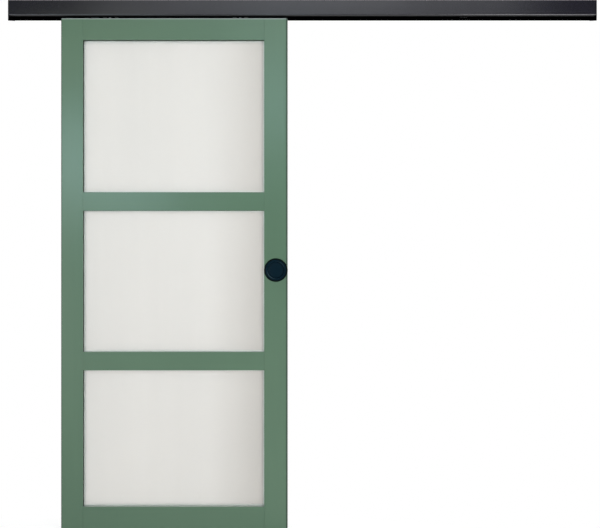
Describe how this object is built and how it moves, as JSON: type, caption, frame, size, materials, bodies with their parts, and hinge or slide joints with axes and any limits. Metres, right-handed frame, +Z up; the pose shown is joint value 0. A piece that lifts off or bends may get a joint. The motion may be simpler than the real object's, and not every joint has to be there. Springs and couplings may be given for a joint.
{
  "type": "sliding glazed door",
  "caption": "Top-hung sliding door leaf with stacked frosted panes in a painted frame and a round flush pull, on a covered wall rail with trolleys, stops and a floor guide.",
  "frame": {"origin": "middle of the rail's wall-fixing hole line, on the wall plane", "axes": "+X to the right along the rail, +Y into the wall, +Z up; the front faces -Y"},
  "size_m": [2.408, 0.068, 2.179],
  "materials": {
    "frame_lacquer": "satin sage-green lacquer",
    "frosted_glass": "frosted, off-white",
    "rail_coating": "fine anthracite powder coat",
    "pull_black": "satin near-black",
    "mill_aluminium": "mill finish",
    "zinc_steel": "zinc plated",
    "black_rubber": "matt",
    "guide_plastic": "matt dark plastic",
    "wheel_nylon": "natural nylon",
    "dowel_wood": "raw beech"
  },
  "bodies": {
    "rail": {"track": "rail_coating", "pelmet": "rail_coating", "end_cap_left": "rail_coating", "end_cap_right": "rail_coating", "end_cap_screws": "zinc_steel", "stop_block_left": "mill_aluminium", "stop_block_right": "mill_aluminium", "stop_buffer_left": "black_rubber", "stop_buffer_right": "black_rubber", "stop_screws": "zinc_steel", "floor_guide": "guide_plastic"},
    "leaf": {"guide_channel": "mill_aluminium", "glass_blocks": "guide_plastic", "frame_dowels": "dowel_wood", "hanger_plate_left": "zinc_steel", "hanger_plate_right": "zinc_steel", "hanger_plate_screws": "zinc_steel", "hanger_bolt_left": "zinc_steel", "hanger_bolt_right": "zinc_steel", "hanger_nuts": "zinc_steel", "trolley_body_left": "mill_aluminium", "trolley_body_right": "mill_aluminium", "trolley_axles_left": "zinc_steel", "trolley_axles_right": "zinc_steel", "pull_cup_front": "pull_black", "pull_cup_back": "pull_black", "stile_left": "frame_lacquer", "stile_right": "frame_lacquer", "top_rail": "frame_lacquer", "upper_transom": "frame_lacquer", "lower_transom": "frame_lacquer", "bottom_rail": "frame_lacquer", "bead_upper_bottom": "frame_lacquer", "bead_upper_right": "frame_lacquer", "bead_upper_top": "frame_lacquer", "bead_upper_left": "frame_lacquer", "bead_middle_bottom": "frame_lacquer", "bead_middle_right": "frame_lacquer", "bead_middle_top": "frame_lacquer", "bead_middle_left": "frame_lacquer", "bead_lower_bottom": "frame_lacquer", "bead_lower_right": "frame_lacquer", "bead_lower_top": "frame_lacquer", "bead_lower_left": "frame_lacquer", "glass_upper": "frosted_glass", "glass_middle": "frosted_glass", "glass_lower": "frosted_glass", "glazing_seals_upper": "black_rubber", "glazing_seals_middle": "black_rubber", "glazing_seals_lower": "black_rubber"},
    "wheel_left_1_front": {"wheel_left_1_front": "wheel_nylon"},
    "wheel_left_1_back": {"wheel_left_1_back": "wheel_nylon"},
    "wheel_left_2_front": {"wheel_left_2_front": "wheel_nylon"},
    "wheel_left_2_back": {"wheel_left_2_back": "wheel_nylon"},
    "wheel_right_1_front": {"wheel_right_1_front": "wheel_nylon"},
    "wheel_right_1_back": {"wheel_right_1_back": "wheel_nylon"},
    "wheel_right_2_front": {"wheel_right_2_front": "wheel_nylon"},
    "wheel_right_2_back": {"wheel_right_2_back": "wheel_nylon"}
  },
  "joints": [
    {"name": "door_slide", "type": "slide", "parent": "rail", "child": "leaf", "axis": [1, 0, 0], "range_m": [0, 0.86]},
    {"name": "wheel_left_1_front_spin", "type": "hinge", "parent": "leaf", "child": "wheel_left_1_front", "pos_m": [-0.819, -0.035, -0.0327], "axis": [0, 1, 0], "continuous": true},
    {"name": "wheel_left_1_back_spin", "type": "hinge", "parent": "leaf", "child": "wheel_left_1_back", "pos_m": [-0.819, -0.035, -0.0327], "axis": [0, 1, 0], "continuous": true},
    {"name": "wheel_left_2_front_spin", "type": "hinge", "parent": "leaf", "child": "wheel_left_2_front", "pos_m": [-0.771, -0.035, -0.0327], "axis": [0, 1, 0], "continuous": true},
    {"name": "wheel_left_2_back_spin", "type": "hinge", "parent": "leaf", "child": "wheel_left_2_back", "pos_m": [-0.771, -0.035, -0.0327], "axis": [0, 1, 0], "continuous": true},
    {"name": "wheel_right_1_front_spin", "type": "hinge", "parent": "leaf", "child": "wheel_right_1_front", "pos_m": [-0.281, -0.035, -0.0327], "axis": [0, 1, 0], "continuous": true},
    {"name": "wheel_right_1_back_spin", "type": "hinge", "parent": "leaf", "child": "wheel_right_1_back", "pos_m": [-0.281, -0.035, -0.0327], "axis": [0, 1, 0], "continuous": true},
    {"name": "wheel_right_2_front_spin", "type": "hinge", "parent": "leaf", "child": "wheel_right_2_front", "pos_m": [-0.233, -0.035, -0.0327], "axis": [0, 1, 0], "continuous": true},
    {"name": "wheel_right_2_back_spin", "type": "hinge", "parent": "leaf", "child": "wheel_right_2_back", "pos_m": [-0.233, -0.035, -0.0327], "axis": [0, 1, 0], "continuous": true}
  ],
  "couplings": [
    {"joint": "wheel_left_1_front_spin", "follows": "door_slide", "rad_per_m": 66.667},
    {"joint": "wheel_left_1_back_spin", "follows": "door_slide", "rad_per_m": 66.667},
    {"joint": "wheel_left_2_front_spin", "follows": "door_slide", "rad_per_m": 66.667},
    {"joint": "wheel_left_2_back_spin", "follows": "door_slide", "rad_per_m": 66.667},
    {"joint": "wheel_right_1_front_spin", "follows": "door_slide", "rad_per_m": 66.667},
    {"joint": "wheel_right_1_back_spin", "follows": "door_slide", "rad_per_m": 66.667},
    {"joint": "wheel_right_2_front_spin", "follows": "door_slide", "rad_per_m": 66.667},
    {"joint": "wheel_right_2_back_spin", "follows": "door_slide", "rad_per_m": 66.667}
  ]
}
